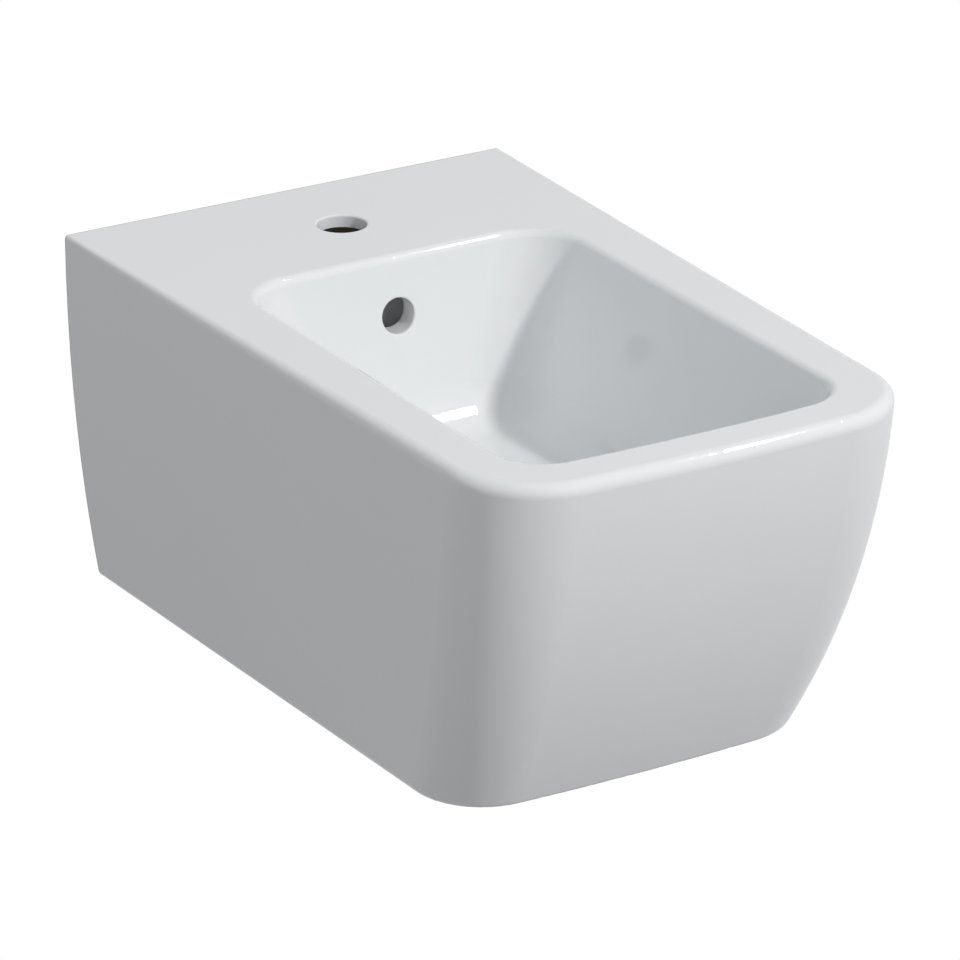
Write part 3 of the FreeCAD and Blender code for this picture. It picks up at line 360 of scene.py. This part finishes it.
# %% Stud sizes
STUD_APART = 0.180
STUD_FROM, STUD_TO = -0.062, 0.050
SHANK_FROM, SHANK_TO = -0.036, 0.0
CREST, ROOT, SHANK = 0.0060, 0.00493, 0.0054
PITCH = 0.00175
ROOT_SHARE, FLANK_SHARE = 0.15, 0.7
BEVEL_FOOT = 0.0050
FADE = PITCH
POINTS_ROUND = 32
ROWS_PER_PITCH = 8


def held(value):
    """Keep a value between 0 and 1."""
    return min(max(value, 0.0), 1.0)


def stud_radius(along, turn):
    """The stud's radius so far along its axis, at so many turns round it."""
    ridge = abs(2.0 * ((along / PITCH - turn) % 1.0) - 1.0)
    threaded = ROOT + (CREST - ROOT) * held((ridge - ROOT_SHARE) / FLANK_SHARE)
    off_shank = max(SHANK_FROM - along, along - SHANK_TO)
    share = held(off_shank / FADE)
    radius = SHANK + (threaded - SHANK) * share
    from_end = min(along - STUD_FROM, STUD_TO - along)
    return min(radius, BEVEL_FOOT + from_end)


print("thread pitch", PITCH * 1000, "mm, depth", round((CREST - ROOT) * 1000, 2), "mm")

# %% [markdown]
# ## The studs' skin
# One stud is a stack of rings of points. Faces join each ring to the next, and one face closes each
# end. Both studs go into one mesh, as the CAD model also keeps them in one piece.

# %% Make the studs
def stud_skin(mesh, centre_x):
    """Add one stud's rows of points, the faces between them and its two end faces."""
    row_count = round((STUD_TO - STUD_FROM) / PITCH * ROWS_PER_PITCH) + 1
    rows = []
    for row in range(row_count):
        along = STUD_FROM + (STUD_TO - STUD_FROM) * row / (row_count - 1)
        ring = []
        for column in range(POINTS_ROUND):
            turn = column / POINTS_ROUND
            radius = stud_radius(along, turn)
            angle = 2.0 * math.pi * turn
            across, height = radius * math.cos(angle), radius * math.sin(angle)
            ring.append(mesh.verts.new((centre_x + across, along, height)))
        rows.append(ring)
    for lower, upper in zip(rows, rows[1:]):
        for column in range(POINTS_ROUND):
            after = (column + 1) % POINTS_ROUND
            skin = mesh.faces.new((lower[column], upper[column], upper[after], lower[after]))
            skin.smooth = True
    mesh.faces.new(rows[0])
    mesh.faces.new(list(reversed(rows[-1])))


grid = bmesh.new()
for side in (-1, 1):
    stud_skin(grid, side * STUD_APART / 2)
bmesh.ops.recalc_face_normals(grid, faces=grid.faces)
stud_mesh = bpy.data.meshes.new("threaded_studs")
grid.to_mesh(stud_mesh)
grid.free()
stud_mesh.materials.append(zinc)
studs = bpy.data.objects.new("threaded_studs", stud_mesh)
bpy.context.collection.objects.link(studs)
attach(studs, "casting")
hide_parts("wall_studs")
print("threaded studs:", len(stud_mesh.polygons), "faces")

# %% [markdown]
# ## Rubber seals
# The seals are black rubber: very dark, dull, with a fine moulded grain and a bloom of grey dust.

# %% Rubber
RUBBER_DARK, RUBBER_LIGHT = (0.012, 0.012, 0.013), (0.045, 0.045, 0.046)
DUST_PATCH, RUBBER_PATCH, RUBBER_ROUGHNESS = 0.007, 0.003, (0.55, 0.8)
RUBBER_GRAIN, RUBBER_GRAIN_DEPTH = 0.0006, 0.00004

rubber, rubber_shader = new_finish("seal_rubber")
place = object_space(rubber)
feed(rubber, rubber_shader,
     Base_Color=tint(rubber, noise(rubber, place, DUST_PATCH, detail=6.0), RUBBER_DARK, RUBBER_LIGHT),
     Roughness=patchy(rubber, noise(rubber, place, RUBBER_PATCH), *RUBBER_ROUGHNESS))
relief(rubber, rubber_shader, noise(rubber, place, RUBBER_GRAIN), RUBBER_GRAIN_DEPTH)
dress(rubber, "waste_flange_seal", "waste_under_seal", "plug_seal", "union_gasket", "socket_seal")

# %% [markdown]
# ## Moulded plastics
# The bend, pipe, nuts and cover ring are white moulded plastic, a little warmer than the glaze. The
# mould leaves a faint matt grain. The stud sleeves and the slip washer are unpainted, more waxy
# plastic, and the cartridge is dark. One function makes them all from two colours and a shine.

# %% Plastics
PLASTIC_CLOUD, PLASTIC_PATCH = 0.03, 0.004
PLASTIC_GRAIN, PLASTIC_GRAIN_DEPTH = 0.0008, 0.00002


def moulded_plastic(name, dark, light, polished, dull, *pieces):
    """A plastic between two colours and two roughnesses, with a fine moulded grain."""
    plastic, shader = new_finish(name, IOR=1.49)
    place = object_space(plastic)
    feed(plastic, shader,
         Base_Color=tint(plastic, noise(plastic, place, PLASTIC_CLOUD, detail=4.0), dark, light),
         Roughness=patchy(plastic, noise(plastic, place, PLASTIC_PATCH), polished, dull))
    relief(plastic, shader, noise(plastic, place, PLASTIC_GRAIN), PLASTIC_GRAIN_DEPTH)
    dress(plastic, *pieces)


moulded_plastic("white_drain_plastic", (0.70, 0.70, 0.66), (0.79, 0.79, 0.76), 0.24, 0.38,
                "union_nut", "drain_bend", "drain_pipe", "socket_nut", "wall_rosette")
moulded_plastic("waxy_sleeve_plastic", (0.66, 0.65, 0.60), (0.76, 0.75, 0.70), 0.42, 0.55, "stud_sleeves")
moulded_plastic("grey_slip_plastic", (0.42, 0.43, 0.42), (0.52, 0.53, 0.52), 0.40, 0.52, "waste_slip_washer")
moulded_plastic("dark_cartridge_plastic", (0.020, 0.022, 0.024), (0.045, 0.047, 0.050), 0.35, 0.5,
                "cartridge_sleeve")

# %% [markdown]
# ## Floor and background
# The picture's ground is plain white, without a shadow. The floor is a pale one that sends light up to
# the object, but the camera sees it as plain white, and mirror-like surfaces see it a little darker.
# The Light Path node tells such rays from the others, so the white does not light the object any
# more. The world does the same: white to look at, and a soft, cool light from all sides.
# From below the floor is clear, like a sheet of glass in a studio table, so the underside can be seen.

# %% Floor and world
FLOOR_HEIGHT = -0.31
FLOOR_HALF = 6.0
FLOOR_GREY = 0.30
MIRRORED_WHITE = 0.75
SKY_STRENGTH = 0.44
SKY_TINT = (0.955, 0.978, 1.0)


def seen_rays(owner):
    """1 for rays from the camera, less for rays from mirrors, and 0 for rays that carry light."""
    path = add(owner, "LightPath", {})
    mirrors = math_of(owner, "MAXIMUM", path["Is Glossy Ray"], path["Is Transmission Ray"])
    mirrored = math_of(owner, "MULTIPLY", mirrors, MIRRORED_WHITE)
    return math_of(owner, "MAXIMUM", path["Is Camera Ray"], mirrored)


corners = [(-1, -1), (1, -1), (1, 1), (-1, 1)]
floor_mesh = bpy.data.meshes.new("floor")
floor_mesh.from_pydata([(x * FLOOR_HALF, y * FLOOR_HALF, FLOOR_HEIGHT) for x, y in corners],
                       [], [(0, 1, 2, 3)])
floor = bpy.data.objects.new("floor", floor_mesh)
bpy.context.collection.objects.link(floor)

pale, pale_shader = new_finish("pale_floor", Roughness=0.9)
pale_shader.inputs["Base Color"].default_value = (FLOOR_GREY, FLOOR_GREY, FLOOR_GREY, 1.0)
glow = add(pale, "Emission", {"Color": (1.0, 1.0, 1.0, 1.0), "Strength": 1.0})["Emission"]
top_side = add(pale, "MixShader", {0: seen_rays(pale), 1: pale_shader.outputs["BSDF"], 2: glow})["Shader"]
clear = add(pale, "BsdfTransparent", {})["BSDF"]
from_below = add(pale, "NewGeometry", {})["Backfacing"]
sheet = add(pale, "MixShader", {0: from_below, 1: top_side, 2: clear})["Shader"]
pale.node_tree.links.new(sheet, pale.node_tree.nodes["Material Output"].inputs["Surface"])
floor_mesh.materials.append(pale)

world = bpy.data.worlds.new("white_room")
bpy.context.scene.world = world
world.use_nodes = True
sky = add(world, "Background", {"Color": (*SKY_TINT, 1.0), "Strength": SKY_STRENGTH})["Background"]
white_wall = add(world, "Background", {"Color": (1.0, 1.0, 1.0, 1.0)})["Background"]
room = add(world, "MixShader", {0: seen_rays(world), 1: sky, 2: white_wall})["Shader"]
world.node_tree.links.new(room, world.node_tree.nodes["World Output"].inputs["Surface"])
print("floor at", FLOOR_HEIGHT, "and sky of", SKY_STRENGTH)

# %% [markdown]
# ## Studio light
# The shadow in the bowl's right back corner has a clear edge, so the main light is small for its
# distance. The front is almost as bright as the rim, so it stands well in front, to the right, and
# about two thirds as high as far. A soft lamp above the wall side and a weak one towards the camera
# even out the rim and the left side, and the sky fills the rest.
# The bright lines on the rim's front edge and on the bowl's back edge are short but the one at the
# bowl floor is thick, so they mirror a strip: narrow across, and long in the upright plane from front
# to back. A studio can have a lamp for such glints alone, so here the strip only shows in shiny
# surfaces, and the other lamps only give light.

# %% Lamps
AIM = Vector((0.0, -0.28, 0.0))
ACROSS = Vector((1.0, 0.0, 0.0))


def studio_lamp(name, place, width, length, power, colour=(1.0, 1.0, 1.0), lights=True):
    """A lamp that looks at the middle of the object, and lights it or only shows in it."""
    lamp = bpy.data.objects.new(name, bpy.data.lights.new(name, "AREA"))
    lamp.data.shape = "RECTANGLE"
    lamp.data.size = width
    lamp.data.size_y = length
    lamp.data.energy = power
    lamp.data.color = colour
    away = (Vector(place) - AIM).normalized()
    upright = away.cross(ACROSS).normalized()
    lamp.location = place
    lamp.rotation_euler = Matrix((upright.cross(away), upright, away)).transposed().to_euler()
    lamp.visible_diffuse = lights
    lamp.visible_glossy = not lights
    bpy.context.collection.objects.link(lamp)
    print(name, "at", tuple(round(value, 2) for value in lamp.location), power, "W")


studio_lamp("main_lamp", (1.747, -4.194, 2.985), width=0.24, length=0.24, power=140.0)
studio_lamp("top_lamp", (-0.578, 0.586, 2.599), width=1.6, length=1.6, power=5.5, colour=SKY_TINT)
studio_lamp("fill_lamp", (-1.464, -2.622, 1.171), width=1.6, length=1.6, power=3.0, colour=SKY_TINT)
studio_lamp("glint_strip", (1.360, -1.156, 2.129), width=0.08, length=0.8, power=11.0, lights=False)
